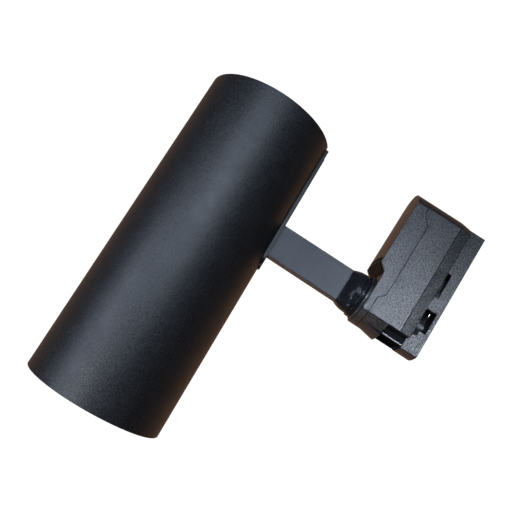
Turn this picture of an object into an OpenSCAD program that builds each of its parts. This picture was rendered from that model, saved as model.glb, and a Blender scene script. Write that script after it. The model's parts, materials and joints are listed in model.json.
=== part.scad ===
// Cylinder track spotlight: a tube head on a flat arm, hung from a track adapter.
// Frame: +Z up, Z = 0 on the shoulder that bears on the track, X = Y = 0 on the swivel axis,
// +X along the adapter towards the lens. Millimetres.

/* [Head] */
// Outside diameter of the lamp tube
tube_d = 85; // [80:1:95]
// Length of the lamp tube
tube_l = 202.2; // [195:0.1:215]
// Wall of the lamp tube
tube_wall = 2; // [1.6:0.1:2.5]
// Distance from the tilt pivot back to the tube's rear rim
rear_reach = 66.6; // [66:0.1:67]
// How far the lens end is tipped up at rest, in degrees
rest_tilt = 2.9; // [0:0.1:4]
// Radius of the clear mouth inside the front bezel
mouth_r = 38; // [37:0.1:38.4]

/* [Arm] */
// Width of the arm bar, along the tube
arm_w = 21.5; // [20:0.1:22]
// Thickness of the arm bar
arm_t = 10; // [9:0.1:10.4]
// Height of the tilt pivot above the tube's axis
pivot_lift = 26; // [25.5:0.1:26.5]
// Drop of the tilt pivot below the track shoulder
pivot_drop = 113.8; // [113.5:0.1:114.5]
// Drop of the arm's top end below the track shoulder
arm_top_drop = 46.7; // [46.4:0.1:47]
// Radius of the tilt bolt's shank
bolt_r = 3; // [2.5:0.1:3.5]

/* [Adapter] */
// Width of the adapter housing
adapter_w = 35; // [34:0.1:36]
// Radius of the curved ends, seen from above
end_r = 22.8; // [22:0.1:24]
// Radius of the housing's rear end, which bulges past the insert
housing_rear_r = 20.8; // [20.6:0.1:21.2]
// Centre of the insert's rear curve
rear_cx = -50.4; // [-52:0.1:-50]
// Centre of the front end's curve
front_cx = -6.6; // [-7:0.1:-6.4]
// Depth of the housing below the shoulder at its rear
base_drop = 37; // [36.8:0.1:37.4]
// Depth of the housing below the shoulder around the swivel
front_drop = 32.4; // [32.2:0.1:32.6]
// How far the underside swells below its side edges
crown = 1.2; // [0.8:0.1:1.6]
// Wall of the plastic housing
skin = 2; // [1.6:0.1:2.2]
// Width of the insert that goes into the track
insert_w = 19; // [18.8:0.1:19.2]
// Height of the insert above the shoulder
insert_h = 11; // [10.5:0.1:12]

/* [Fits] */
// Radial clearance of a turning shaft in its bore
run_gap = 0.05; // [0.03:0.01:0.08]
// Gap between pieces that move past each other
move_gap = 0.4; // [0.3:0.05:0.5]
// Width of the shadow line along the housing's seam
seam_gap = 0.3; // [0.2:0.05:0.4]

/* [Hidden] */
$fn = 96;
tube_r = tube_d / 2;
bore_r = tube_r - tube_wall;
inner_r = bore_r - 0.2;
rear_x = -rear_reach;
lens_x = rear_x + tube_l;
half_w = adapter_w / 2;
insert_half = insert_w / 2;
fold_drop = 6.9;
fold_in = 1.1;
insert_seat = 0.8;
housing_rear_cx = rear_cx - sqrt(end_r * end_r - half_w * half_w)
  + sqrt(housing_rear_r * housing_rear_r - half_w * half_w);

// arm channel, in the head's frame
channel_r = 8;
channel_wall = 1.7;
channel_cx = 13.5;
channel_floor = 12.5;
lip_top = 43.6;
lip_reach = 66.7;
stop_x = 11.9;
grommet_x = 9.5;

// chassis inside the tube
rod_r = 3;
rod_circle = 34;
rod_angles = [-90, 30, 150];
tube_screw_angles = [45, -45];
cap_x = rear_x + 2;
cap_t = 3;
sink_x0 = 24;
sink_x1 = 62;
sink_base_t = 6;
fin_pitch = 5.6;
fin_t = 1.6;
case_x0 = -56;
case_x1 = 14;
case_half = 24;
case_z0 = -30;
case_z1 = 5;
lid_t = 2;
board_z = -24;
pcb_t = 1.6;
led_lead_y = 14;

// optics
pad_t = 0.4;
cob_t = 1.4;
phosphor_t = 0.6;
holder_x0 = sink_x1 + pad_t + cob_t;
holder_t = 3.2;
holder_screw_r = 15.5;
cup_x0 = holder_x0 + holder_t + 0.4;
cup_x1 = 110;
cup_r0 = 9;
cup_r1 = 35.5;
cup_wall = 0.8;
flange_r = 37.6;
gasket_t = 0.8;
glass_t = 3;
glass_x0 = cup_x1 + 1 + gasket_t;
glass_x1 = glass_x0 + glass_t;
bezel_x0 = glass_x1 + 0.2;
bezel_x1 = lens_x - 1.2;

// swivel
arm_screw_x = 7.8;
stem_r = 5;
stem_hole_r = 3.4;
collar_r = 15;
ring_r = 14.4;
collar_z = -front_drop - 1.8;
ring_top = collar_z - 0.3;
ring_z = ring_top - 2.4;
boss_top = -28.5;
washer_z = boss_top + 0.3;
nut_z = washer_z + 1;
nut_top = nut_z + 4.6;
stop_r = 11;

// ribbed thumb slide on the underside's step
step_x = -21.4;
step_rise = base_drop - front_drop;
slide_half = 11.8;
slide_travel = 3;
rib_count = 7;
rib_w = 1.7;
pocket_half = slide_half + slide_travel + move_gap;

// lock and contact linkage
lever_x = 10.65;
lever_y = 0.35;
rotor_y = -5;
contact_x = -3.25;
tongue_x = -25.8;
shaft_r = 2;
throw_r = 4.5;
pin_r = 1.2;
crank_z = -18.6;
crank_t = 1.5;
link_z = crank_z - 0.4 - crank_t;
recess_x = 7.9;
recess_z = -14.6;
recess_floor = 1.6;
plate_z = -16.6;
plate_t = 2;

// ---------- helpers ----------

// Puts a piece drawn in the head's frame (X along the tube from the pivot, Z = 0 on the
// tube's axis) into its place, tipped up by the rest tilt.
module on_head() {
  translate([0, 0, -pivot_drop])
    rotate([0, -rest_tilt, 0])
      translate([0, 0, -pivot_lift])
        children();
}

// A disc along X from x0 to x1
module disc_x(x0, x1, r) {
  translate([x0, 0, 0])
    rotate([0, 90, 0])
      cylinder(h = x1 - x0, r = r);
}

// A ring along X from x0 to x1
module ring_x(x0, x1, ro, ri) {
  difference() {
    disc_x(x0, x1, ro);
    disc_x(x0 - 1, x1 + 1, ri);
  }
}

// A solid of revolution about the tube's axis: points are [radius, x]
module turned_x(points) {
  rotate([90, 0, 90])
    rotate_extrude()
      polygon(points);
}

// Copies a child to a circle of positions around the tube's axis
module around_x(radius, angles) {
  for (a = angles)
    rotate([a, 0, 0])
      translate([0, radius, 0])
        children();
}

// A disc along Y, from y0 to y1
module disc_y(y0, y1, r) {
  translate([0, y1, 0])
    rotate([90, 0, 0])
      cylinder(h = y1 - y0, r = r);
}

// A box by its low and high corners
module box(low, high) {
  translate(low)
    cube(high - low);
}

// An XZ outline pushed across the width
module across_y(points, half) {
  rotate([90, 0, 0])
    translate([0, 0, -half])
      linear_extrude(2 * half)
        polygon(points);
}

// The adapter's plan: flat sides at +-half, front curved to radius r and rear to rear_r
module plan(half, r, rear_r, rear_c) {
  intersection() {
    translate([-100, -half])
      square([200, 2 * half]);
    union() {
      translate([rear_c, 0])
        circle(rear_r);
      translate([front_cx, 0])
        circle(r);
      translate([rear_c, -half])
        square([front_cx - rear_c, 2 * half]);
    }
  }
}

// The plan as a prism between two heights, drawn in by inset
module plan_prism(z0, z1, inset = 0) {
  translate([0, 0, z0])
    linear_extrude(z1 - z0)
      plan(half_w - inset, end_r - inset, housing_rear_r - inset, housing_rear_cx);
}

module insert_plan(inset) {
  plan(insert_half - inset, end_r - inset, end_r - inset, rear_cx);
}

// Countersunk screw along +Z, head flat at z = 0, shank going down
module screw(r, length, head_r, head_h) {
  rotate([180, 0, 0]) {
    cylinder(h = length, r = r);
    cylinder(h = head_h, r1 = head_r, r2 = r);
  }
}

// Pan head screw along +Z: head above z = 0, shank below, cross slot in the head
module pan_screw(r, length, head_r, head_h) {
  difference() {
    union() {
      cylinder(h = head_h, r = head_r);
      translate([0, 0, -length])
        cylinder(h = length + 0.1, r = r);
    }
    for (a = [0, 90])
      rotate([0, 0, a])
        translate([-head_r * 0.6, -head_r * 0.12, head_h * 0.5])
          cube([head_r * 1.2, head_r * 0.24, head_h]);
  }
}

// ---------- head ----------

// The channel's plan: open at the rear, round at the front
module channel_plan(r) {
  translate([rear_x - 5, -r])
    square([channel_cx - rear_x + 5, 2 * r]);
  translate([channel_cx, 0])
    circle(r);
}

module tube_housing() {
  edge = 0.35;
  color([0.055, 0.056, 0.062])
    on_head()
      difference() {
        turned_x([
          [bore_r, rear_x], [tube_r - edge, rear_x], [tube_r, rear_x + edge],
          [tube_r, lens_x - edge], [tube_r - edge, lens_x], [bore_r, lens_x]
        ]);
        translate([0, 0, 20])
          linear_extrude(40)
            channel_plan(channel_r + 0.25);
        translate([sink_x1 - sink_base_t / 2, 0, 0])
          around_x(0, tube_screw_angles)
            translate([0, tube_r - 0.3, 0])
              rotate([-90, 0, 0])
                union() {
                  translate([0, 0, -10])
                    cylinder(h = 11, r = 1.6);
                  translate([0, 0, -1.5])
                    cylinder(h = 1.5, r1 = 1.55, r2 = 2.75);
                  cylinder(h = 3, r = 2.75);
                }
      }
}

module rear_cap() {
  vent_r = 2.2;
  color([0.06, 0.06, 0.065])
    on_head()
      difference() {
        union() {
          disc_x(cap_x, cap_x + cap_t, inner_r);
          ring_x(cap_x, cap_x + cap_t + 3, inner_r, inner_r - 2.5);
        }
        translate([0, 0, channel_floor - 0.3])
          linear_extrude(60)
            channel_plan(channel_r + 0.25);
        around_x(rod_circle, rod_angles)
          disc_x(cap_x - 1, cap_x + cap_t + 6, 1.7);
        for (ring = [12, 22], a = [0 : 30 : 330])
          if (ring * sin(a) < 6)
            rotate([a, 0, 0])
              translate([0, ring, 0])
                disc_x(cap_x - 1, cap_x + cap_t + 1, vent_r);
      }
}

module rear_cap_screws() {
  color([0.2, 0.2, 0.21])
    on_head()
      around_x(rod_circle, rod_angles)
        translate([cap_x, 0, 0])
          rotate([0, -90, 0])
            pan_screw(1.5, 12, 2.8, 1.6);
}

module tube_screws() {
  color([0.1, 0.1, 0.1])
    on_head()
      translate([sink_x1 - sink_base_t / 2, 0, 0])
        around_x(0, tube_screw_angles)
          translate([0, tube_r - 0.3, 0])
            rotate([-90, 0, 0])
              screw(1.5, 7, 2.6, 1.4);
}

module arm_channel() {
  color([0.07, 0.07, 0.075])
    on_head()
      difference() {
        union() {
          difference() {
            translate([0, 0, channel_floor])
              linear_extrude(lip_top - channel_floor)
                channel_plan(channel_r);
            translate([0, 0, channel_floor + channel_wall])
              linear_extrude(60)
                channel_plan(channel_r - channel_wall);
          }
          box([stop_x, -channel_r + 1, 32], [channel_cx + 4, channel_r - 1, 39]);
        }
        box([rear_x - 10, -20, 0], [rear_x, 20, 60]);
        difference() {
          box([rear_x - 1, -20, pivot_lift], [rear_x + 10, 20, lip_top + 1]);
          translate([0, 0, pivot_lift])
            disc_y(-30, 30, lip_reach);
        }
        translate([0, 0, pivot_lift])
          disc_y(-20, 20, bolt_r + 0.1);
        translate([grommet_x, 0, 0])
          cylinder(h = 20, r = 2.8);
      }
}

module tilt_bolt() {
  head_h = 3;
  color([0.7, 0.7, 0.72])
    on_head()
      translate([0, 0, pivot_lift])
        difference() {
          union() {
            disc_y(-channel_r - head_h, -channel_r, 5.5);
            disc_y(-channel_r - 0.1, channel_r + 6.5, bolt_r);
          }
          translate([0, -channel_r - head_h - 0.1, 0])
            rotate([-90, 0, 0])
              cylinder(h = 2, r = 2.3, $fn = 6);
        }
}

module tilt_nut() {
  color([0.7, 0.7, 0.72])
    on_head()
      translate([0, channel_r, pivot_lift])
        difference() {
          rotate([-90, 0, 0])
            union() {
              cylinder(h = 4, r = 5.6, $fn = 6);
              cylinder(h = 5.5, r = 4.2);
            }
          disc_y(-1, 8, bolt_r + 0.01);
        }
}

module friction_washers() {
  color([0.85, 0.82, 0.7])
    on_head()
      translate([0, 0, pivot_lift])
        for (y = [-arm_t / 2 - 1.2, arm_t / 2 + 0.3])
          difference() {
            disc_y(y, y + 0.9, 8);
            disc_y(y - 1, y + 2, bolt_r + 0.02);
          }
}

module channel_grommet() {
  color([0.05, 0.05, 0.05])
    on_head()
      translate([grommet_x, 0, 0])
        rotate_extrude()
          polygon([
            [2, channel_floor - 1.2], [3.6, channel_floor - 1.2], [3.6, channel_floor],
            [2.75, channel_floor], [2.75, channel_floor + channel_wall],
            [3.4, channel_floor + channel_wall], [3.4, channel_floor + channel_wall + 1],
            [2, channel_floor + channel_wall + 1]
          ]);
}

// Three insulated wires side by side, along +Z
module wire_trio(length, r = 0.9) {
  for (a = [90, 210, 330])
    rotate([0, 0, a])
      translate([r * 1.16, 0, 0])
        cylinder(h = length, r = r, $fn = 24);
}

module head_leads() {
  color([0.75, 0.73, 0.7])
    on_head()
      translate([grommet_x, 0, case_z1 + lid_t + 0.1])
        wire_trio(10, 0.85);
}

module tie_rods() {
  color([0.75, 0.76, 0.78])
    on_head()
      around_x(rod_circle, rod_angles)
        difference() {
          disc_x(cap_x + cap_t, sink_x1 - sink_base_t, rod_r);
          disc_x(cap_x, cap_x + cap_t + 12, 1.5);
        }
}

module driver_brackets() {
  bracket_t = 1.4;
  color([0.72, 0.73, 0.75])
    on_head()
      for (x = [case_x0 - bracket_t, case_x1])
        difference() {
          disc_x(x, x + bracket_t, 38);
          translate([0, 0, channel_floor - 0.5])
            linear_extrude(60)
              channel_plan(channel_r + 0.5);
          around_x(rod_circle, rod_angles)
            disc_x(x - 1, x + 3, rod_r + 0.05);
          for (y = [-led_lead_y, led_lead_y])
            translate([0, y, 0])
              disc_x(x - 1, x + 3, 1.6);
        }
}

module driver_case() {
  t = 1.6;
  color([0.82, 0.82, 0.8])
    on_head()
      difference() {
        box([case_x0, -case_half, case_z0], [case_x1, case_half, case_z1]);
        box([case_x0 + t, -case_half + t, case_z0 + t], [case_x1 - t, case_half - t, case_z1 + 1]);
        for (y = [-led_lead_y, led_lead_y])
          translate([0, y, 0])
            disc_x(case_x1 - 3, case_x1 + 1, 1.5);
      }
}

module driver_lid() {
  color([0.82, 0.82, 0.8])
    on_head()
      difference() {
        box([case_x0, -case_half, case_z1], [case_x1, case_half, case_z1 + lid_t]);
        for (x = [case_x0 + 12 : 8 : case_x1 - 12])
          box([x, -12, case_z1 - 1], [x + 2, 12, case_z1 + lid_t + 1]);
      }
}

module driver_board() {
  color([0.1, 0.35, 0.18])
    on_head()
      box([case_x0 + 2, -case_half + 2, board_z], [case_x1 - 2, case_half - 2, board_z + pcb_t]);
}

module transformer() {
  z0 = board_z + pcb_t;
  color([0.8, 0.68, 0.2])
    on_head()
      translate([-28, 6, z0]) {
        box([-10, -10, 0], [10, 10, 3]);
        box([-8, -7, 3], [8, 7, 14]);
        box([-10, -10, 14], [10, 10, 17]);
      }
}

module capacitors() {
  z0 = board_z + pcb_t;
  color([0.12, 0.12, 0.2])
    on_head()
      for (spot = [[-38, -14, 6, 20], [-8, 12, 5, 16], [-10, -12, 4, 12], [2, 10, 3, 10]])
        translate([spot[0], spot[1], z0])
          cylinder(h = spot[3], r = spot[2]);
}

module driver_terminals() {
  z0 = board_z + pcb_t;
  color([0.85, 0.85, 0.82])
    on_head()
      for (x = [case_x0 + 4, case_x1 - 12])
        box([x, -8, z0], [x + 7, 4, z0 + 8]);
}

module heat_sink() {
  fin_top = floor(inner_r / fin_pitch);
  color([0.62, 0.63, 0.65])
    on_head()
      difference() {
        union() {
          disc_x(sink_x1 - sink_base_t, sink_x1, inner_r);
          disc_x(sink_x0, sink_x1 - 1, 9);
          intersection() {
            disc_x(sink_x0, sink_x1 - 1, inner_r - 0.8);
            for (i = [-fin_top : fin_top])
              box([sink_x0, -inner_r, i * fin_pitch - fin_t / 2],
                  [sink_x1 - 1, inner_r, i * fin_pitch + fin_t / 2]);
          }
        }
        around_x(rod_circle, rod_angles)
          disc_x(sink_x0 - 1, sink_x1 - sink_base_t, rod_r + 0.2);
        for (y = [-led_lead_y, led_lead_y])
          translate([0, y, 0])
            disc_x(sink_x0 - 1, sink_x1 + 1, 1.6);
        for (a = [-45, 135])
          rotate([a, 0, 0])
            translate([0, holder_screw_r, 0])
              disc_x(sink_x1 - 7, sink_x1 + 1, 1.3);
        translate([sink_x1 - sink_base_t / 2, 0, 0])
          around_x(0, tube_screw_angles)
            disc_y(inner_r - 9, inner_r + 1, 1.55);
      }
}

module thermal_pad() {
  color([0.55, 0.58, 0.62])
    on_head()
      box([sink_x1, -10, -10], [sink_x1 + pad_t, 10, 10]);
}

module led_board() {
  x0 = sink_x1 + pad_t;
  color([0.93, 0.93, 0.9])
    on_head()
      box([x0, -9.5, -9.5], [x0 + cob_t, 9.5, 9.5]);
}

module led_phosphor() {
  color([0.95, 0.82, 0.2])
    on_head()
      disc_x(holder_x0, holder_x0 + phosphor_t, 7.4);
}

module led_holder() {
  color([0.94, 0.94, 0.93])
    on_head()
      difference() {
        disc_x(sink_x1, holder_x0 + holder_t, 18);
        box([sink_x1 - 1, -10.1, -10.1], [holder_x0, 10.1, 10.1]);
        turned_x([
          [0, sink_x1 - 1], [8.2, sink_x1 - 1], [8.2, holder_x0 + 0.8],
          [11, holder_x0 + holder_t + 0.1], [0, holder_x0 + holder_t + 0.1]
        ]);
        for (a = [-45, 135])
          rotate([a, 0, 0])
            translate([0, holder_screw_r, 0])
              disc_x(sink_x1 - 1, holder_x0 + holder_t + 1, 1.3);
        for (y = [-led_lead_y, led_lead_y])
          translate([0, y, 0])
            disc_x(sink_x1 - 1, sink_x1 + 3, 1.2);
      }
}

module holder_screws() {
  color([0.75, 0.75, 0.77])
    on_head()
      for (a = [-45, 135])
        rotate([a, 0, 0])
          translate([holder_x0 + holder_t, holder_screw_r, 0])
            rotate([0, 90, 0])
              pan_screw(1.2, 8, 2.2, 1.4);
}

module led_leads() {
  color([0.8, 0.15, 0.12])
    on_head()
      for (y = [-led_lead_y, led_lead_y])
        translate([0, y, 0])
          disc_x(case_x1 - 6, sink_x1 + 2.6, 1.1);
}

// Radius of the reflector's bowl a share t of the way from its throat to its mouth
function cup_r(t) = sqrt(cup_r0 * cup_r0 + (cup_r1 * cup_r1 - cup_r0 * cup_r0) * t);

module reflector() {
  steps = 16;
  inside = [for (i = [0 : steps]) [cup_r(i / steps), cup_x0 + (cup_x1 - cup_x0) * i / steps]];
  outside = [for (i = [steps : -1 : 0]) [inside[i][0] + cup_wall, inside[i][1]]];
  color([0.86, 0.87, 0.88])
    on_head()
      turned_x(concat(
        inside, [[cup_r1, cup_x1 + 1], [flange_r, cup_x1 + 1], [flange_r, cup_x1]], outside
      ));
}

module glass_gasket() {
  color([0.1, 0.1, 0.1])
    on_head()
      ring_x(cup_x1 + 1, glass_x0, flange_r, cup_r1);
}

module front_glass() {
  color([0.85, 0.9, 0.92, 0.35])
    on_head()
      disc_x(glass_x0, glass_x1, flange_r);
}

module retaining_ring() {
  color([0.09, 0.09, 0.09])
    on_head()
      turned_x([
        [flange_r + 0.2, 104], [inner_r, 104], [inner_r, bezel_x0 - 0.1],
        [flange_r + 0.2, bezel_x0 - 0.1]
      ]);
}

module front_bezel() {
  lip_r = 35.4;
  color([0.05, 0.05, 0.055])
    on_head()
      turned_x([
        [lip_r, bezel_x0], [inner_r, bezel_x0], [inner_r, bezel_x1], [mouth_r + 0.6, bezel_x1],
        [mouth_r, bezel_x1 - 0.6], [mouth_r, bezel_x0 + 2.4], [lip_r, bezel_x0 + 1.6]
      ]);
}

// ---------- arm ----------

module arm_bar() {
  half = arm_w / 2;
  edge = 0.5;
  duct_x = 4;
  duct_y = 2.6;
  color([0.16, 0.165, 0.18])
    difference() {
      union() {
        translate([0, 0, -pivot_drop])
          intersection() {
            disc_y(-arm_t / 2, arm_t / 2, half);
            box([-half, -arm_t, -half - 1], [half, arm_t, 1]);
          }
        translate([0, 0, -pivot_drop])
          linear_extrude(pivot_drop - arm_top_drop)
            polygon([
              [-half + edge, -arm_t / 2], [half - edge, -arm_t / 2], [half, -arm_t / 2 + edge],
              [half, arm_t / 2 - edge], [half - edge, arm_t / 2], [-half + edge, arm_t / 2],
              [-half, arm_t / 2 - edge], [-half, -arm_t / 2 + edge]
            ]);
      }
      translate([0, 0, -pivot_drop])
        disc_y(-arm_t, arm_t, bolt_r + run_gap);
      box([-duct_x, -duct_y, -100], [duct_x, duct_y, 0]);
      for (x = [-arm_screw_x, arm_screw_x])
        translate([x, 0, -arm_top_drop - 10])
          cylinder(h = 11, r = 1.3);
      box([3, -duct_y, -100], [half + 1, duct_y, -95]);
    }
}

module knuckle_shell() {
  foot_h = 2;
  color([0.035, 0.036, 0.04])
    difference() {
      union() {
        hull($fn = 40) {
          for (x = [-1, 1], y = [-1, 1])
            translate([x * (arm_w / 2 - 1.8), y * (arm_t / 2 - 1), -arm_top_drop])
              cylinder(h = foot_h, r = 2.2, $fn = 24);
          translate([0, 0, ring_z - 1.4])
            cylinder(h = 1.4, r = ring_r - 0.9, $fn = 64);
        }
      }
      translate([0, 0, -arm_top_drop - 1])
        cylinder(h = 20, r = stem_r + 0.01);
      for (x = [-arm_screw_x, arm_screw_x])
        translate([x, 0, -arm_top_drop - 1])
          cylinder(h = 20, r = 1.6);
      for (x = [-arm_screw_x, arm_screw_x])
        translate([x, 0, -arm_top_drop + 5])
          cylinder(h = 20, r = 2.9);
    }
}

module arm_screws() {
  color([0.7, 0.7, 0.72])
    for (x = [-arm_screw_x, arm_screw_x])
      translate([x, 0, -arm_top_drop + 5])
        pan_screw(1.3, 13, 2.6, 1.6);
}

module swivel_ring() {
  color([0.04, 0.04, 0.045])
    difference() {
      translate([0, 0, ring_z])
        rotate_extrude()
          polygon([
            [stem_r + 0.01, 0], [ring_r - 0.4, 0], [ring_r, 0.4], [ring_r, 2], [ring_r - 0.4, 2.4],
            [stem_r + 0.01, 2.4]
          ]);
    }
}

module swivel_stem() {
  color([0.72, 0.73, 0.75])
    difference() {
      translate([0, 0, -arm_top_drop + 0.2])
        cylinder(h = arm_top_drop - 0.2 + nut_top + 0.4, r = stem_r);
      translate([0, 0, -arm_top_drop - 1])
        cylinder(h = 60, r = stem_hole_r);
    }
}

module thrust_washer() {
  color([0.78, 0.78, 0.8])
    difference() {
      union() {
        translate([0, 0, washer_z])
          cylinder(h = 1, r = 9);
        box([0, -1.4, washer_z], [stop_r, 1.4, washer_z + 1]);
        translate([stop_r, 0, washer_z - 1.6])
          cylinder(h = 2.6, r = 1.4);
      }
      translate([0, 0, washer_z - 3])
        cylinder(h = 6, r = stem_r + 0.01);
    }
}

module stem_nut() {
  color([0.75, 0.76, 0.78])
    difference() {
      translate([0, 0, nut_z])
        cylinder(h = nut_top - nut_z, r = 8.2, $fn = 6);
      translate([0, 0, nut_z - 1])
        cylinder(h = 10, r = stem_r + 0.01);
    }
}

module arm_leads() {
  color([0.8, 0.78, 0.75])
    translate([0, 0, -98])
      wire_trio(98 + nut_top + 0.9);
}

// ---------- adapter ----------

// XZ region above or below the housing's parting line
module seam_side(above) {
  far = above ? 20 : -80;
  off = above ? seam_gap / 2 : -seam_gap / 2;
  across_y([
    [-100, far], [-100, -29.6 + off], [-60.4, -29.6 + off], [-55.2, -24.4 + off],
    [-5.5, -24.4 + off], [-1.7, -28.2 + off], [100, -28.2 + off], [100, far]
  ], 40);
}

module adapter_base() {
  crown_r = (half_w * half_w + crown * crown) / (2 * crown);
  color([0.1, 0.1, 0.105])
    difference() {
      union() {
        difference() {
          intersection() {
            plan_prism(-50, 0);
            seam_side(false);
            across_y([
              [-100, -base_drop - 20], [step_x - 20, -base_drop - 20],
              [step_x + step_rise, -front_drop], [100, -front_drop], [100, 0], [-100, 0]
            ], 40);
            translate([-100, 0, crown_r - base_drop - crown])
              rotate([0, 90, 0])
                cylinder(h = 200, r = crown_r, $fn = 160);
          }
          intersection() {
            plan_prism(-50, 10, skin);
            across_y([
              [-100, 10], [-100, -base_drop + 2.4], [step_x + 0.8, -base_drop + 2.4],
              [step_x + step_rise + 0.8, -front_drop + 2.2], [100, -front_drop + 2.2], [100, 10]
            ], 40);
          }
        }
        translate([0, 0, collar_z])
          rotate_extrude()
            polygon([
              [0, 0], [collar_r - 0.5, 0], [collar_r, 0.5], [collar_r, 2.2], [9.5, 2.2],
              [9.5, boss_top - collar_z], [0, boss_top - collar_z]
            ]);
        translate([-stop_r, 0, -front_drop + 1])
          cylinder(h = 5, r = 1.4);
        for (spot = [[-58, 0], [-38, 10.5]])
          translate([spot[0], spot[1], -base_drop])
            cylinder(h = 9.5, r = 3);
      }
      translate([0, 0, -50])
        cylinder(h = 40, r = stem_r + run_gap);
      box([step_x - 3.8, -pocket_half, -50], [step_x + step_rise + 1.2, pocket_half, -25]);
      for (spot = [[-58, 0], [-38, 10.5]])
        translate([spot[0], spot[1], -base_drop + 2.4])
          cylinder(h = 10, r = 1.2);
    }
}

module adapter_body() {
  lip_r = end_r + 1.9;
  color([0.11, 0.11, 0.115])
    difference() {
      union() {
        intersection() {
          plan_prism(-50, 0);
          seam_side(true);
          rotate([90, 0, 90])
            translate([0, 0, -100])
              linear_extrude(200)
                polygon([
                  [-half_w, -60], [half_w, -60], [half_w, -fold_drop], [half_w - fold_in, 0],
                  [-half_w + fold_in, 0], [-half_w, -fold_drop]
                ]);
        }
        intersection() {
          translate([front_cx, 0, -25])
            cylinder(h = 25 + recess_z + 1.8, r1 = end_r - 0.2, r2 = lip_r, $fn = 128);
          box([5, -11, -26], [30, 13, recess_z + 1.6]);
        }
      }
      difference() {
        intersection() {
          plan_prism(-60, -skin, skin);
          rotate([90, 0, 90])
            translate([0, 0, -100])
              linear_extrude(200)
                polygon([
                  [-half_w + skin, -70], [half_w - skin, -70], [half_w - skin, -fold_drop],
                  [half_w - fold_in - skin, 0], [-half_w + fold_in + skin, 0],
                  [-half_w + skin, -fold_drop]
                ]);
        }
        box([recess_x - 1.6, -30, recess_z - recess_floor], [60, 30, 10]);
        for (spot = [[-58, 0], [-38, 10.5]])
          translate([spot[0], spot[1], -27])
            cylinder(h = 40, r = 3);
      }
      box([-100, -insert_half - 0.05, -insert_seat], [100, insert_half + 0.05, 5]);
      difference() {
        box([-100, -30, -fold_drop], [housing_rear_cx, 30, 1]);
        translate([housing_rear_cx, 0, -fold_drop])
          cylinder(
            h = fold_drop + 1, r1 = housing_rear_r + 0.05, r2 = housing_rear_r - 1, $fn = 128
          );
      }
      box([recess_x, -30, recess_z], [60, 7.5, 10]);
      translate([lever_x, lever_y, recess_z - 5])
        cylinder(h = 20, r = shaft_r + run_gap);
      for (x = [contact_x, tongue_x])
        translate([x, rotor_y, -5])
          cylinder(h = 10, r = shaft_r + run_gap);
      box([-48, -4, -5], [-34, 4, 1]);
      for (spot = [[-58, 0], [-38, 10.5]])
        translate([spot[0], spot[1], -28])
          cylinder(h = 40, r = 1.7);
      for (spot = [[-58, 0], [-38, 10.5]])
        translate([spot[0], spot[1], -5])
          cylinder(h = 10, r = 3.1);
    }
}

module track_insert() {
  wall = 1.4;
  foot_x = 4.5;
  color([0.12, 0.12, 0.125])
    difference() {
      union() {
        difference() {
          union() {
            linear_extrude(insert_h)
              insert_plan(0);
            intersection() {
              translate([0, 0, -insert_seat])
                linear_extrude(2)
                  insert_plan(0);
              union() {
                box([-100, -20, -2], [recess_x - 0.1, 20, 1]);
                box([-100, 7.6, -2], [60, 20, 1]);
              }
            }
          }
          translate([0, 0, -1])
            linear_extrude(insert_h + 1 - wall)
              insert_plan(wall);
        }
        intersection() {
          linear_extrude(2)
            insert_plan(0.5);
          box([foot_x, -20, 0], [30, 20, 2]);
        }
      }
      box([-40.2, -20, 0.3], [-23.4, -insert_half + wall + 0.1, 4.5]);
      box([-14.6, -20, 1.2], [-0.2, -insert_half + wall + 0.1, 8.6]);
      box([-1, -20, 0.3], [3.1, -insert_half + wall + 0.1, 4.4]);
      box([-46, insert_half - wall - 0.1, 2.5], [-30, 20, 6.5]);
      translate([lever_x, lever_y, -1])
        cylinder(h = 5, r = shaft_r + run_gap);
    }
}

module mechanism_plate() {
  color([0.14, 0.14, 0.15])
    difference() {
      union() {
        box([-30, -11, plate_z], [3, 3.5, plate_z + plate_t]);
        for (x = [-28, -12])
          box([x, -15.2, plate_z], [x + 4, -10, plate_z + plate_t]);
        box([-18, -10.5, plate_z], [-10, -7.6, -skin - 0.1]);
      }
      for (x = [contact_x, tongue_x])
        translate([x, rotor_y, plate_z - 1])
          cylinder(h = 5, r = shaft_r + run_gap);
    }
}

module terminal_block() {
  color([0.85, 0.84, 0.8])
    difference() {
      box([-54, -9, -26], [-42, 9, -16]);
      for (y = [-6, 0, 6]) {
        translate([-48, y, -22])
          cylinder(h = 10, r = 1.7);
        translate([-60, y, -22.5])
          rotate([0, 90, 0])
            cylinder(h = 30, r = 1.5);
      }
    }
}

module terminal_screws() {
  color([0.78, 0.76, 0.6])
    for (y = [-6, 0, 6])
      translate([-48, y, -17.6])
        difference() {
          translate([0, 0, -4.2])
            cylinder(h = 4.4, r = 1.6);
          box([-2, -0.25, -0.5], [2, 0.25, 1]);
        }
}

module adapter_leads() {
  lead_z = -22.5;
  color([0.8, 0.78, 0.75])
    for (y = [-6, 0, 6])
      translate([-44, y, lead_z])
        rotate([0, 90, 0])
          cylinder(h = 12, r = 1.1, $fn = 24);
}

module housing_screws() {
  color([0.6, 0.6, 0.62])
    for (spot = [[-58, 0], [-38, 10.5]])
      translate([spot[0], spot[1], -5])
        pan_screw(1.15, 25, 2.8, 1.8);
}

module earth_contact() {
  color([0.8, 0.6, 0.3])
    box([-45, insert_half - 1.3, 3.2], [-31, insert_half + 0.5, 3.2 + 2.6]);
}

module detent_spring() {
  color([0.75, 0.76, 0.78])
    for (y = [-9, 9])
      box([-33, y - 2, -base_drop + 2.4], [-29.6, y + 2, -base_drop + 3]);
}

// ---------- lock, contacts and thumb slide ----------

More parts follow.
